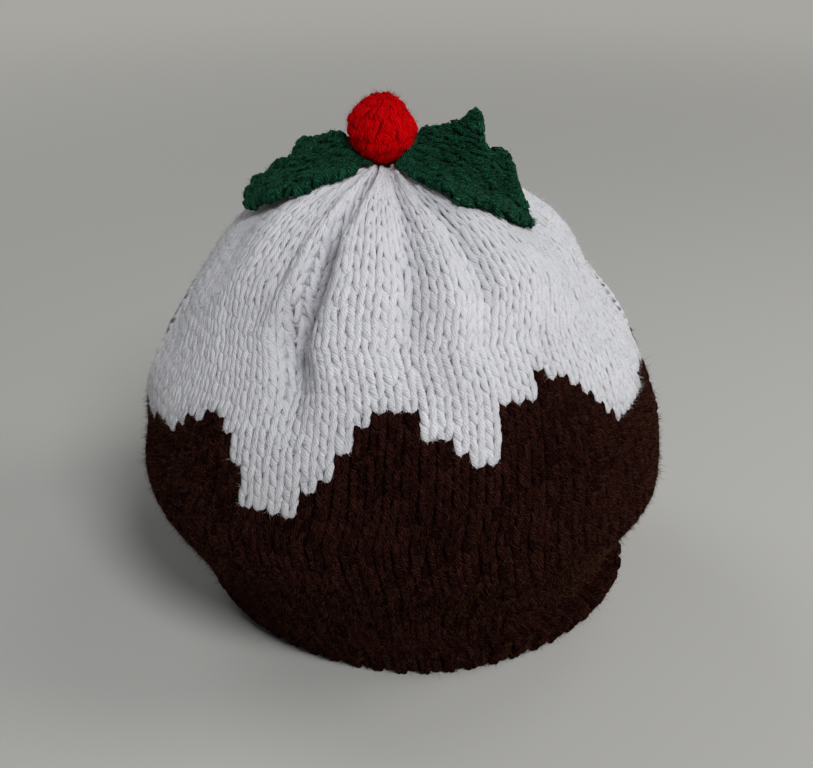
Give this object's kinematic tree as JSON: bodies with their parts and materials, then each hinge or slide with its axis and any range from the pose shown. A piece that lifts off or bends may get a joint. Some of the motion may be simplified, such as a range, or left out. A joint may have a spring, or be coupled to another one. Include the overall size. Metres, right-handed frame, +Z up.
{
  "type": "tea cosy",
  "caption": "Knitted tea cosy shaped like a round pudding, with an icing cap, a berry and holly leaves, and side openings for a spout and a handle",
  "frame": {"origin": "on the surface the hem stands on, at the middle of the bounding box", "axes": "+Z up from the hem to the berry; +X towards the handle opening; -X towards the spout opening; -Y towards the panel seen from the front"},
  "size_m": [0.1726, 0.1599, 0.1703],
  "materials": {
    "pudding_yarn": "dark brown knitting wool with a fine halo of fibres",
    "icing_yarn": "cool white knitting wool with a faint sheen",
    "berry_yarn": "bright red knitting wool",
    "leaf_yarn": "dark green knitting wool"
  },
  "bodies": {
    "root": {"front_panel": "pudding_yarn", "back_panel": "pudding_yarn", "berry": "berry_yarn", "leaf_right": "leaf_yarn", "leaf_left": "leaf_yarn"}
  },
  "joints": []
}
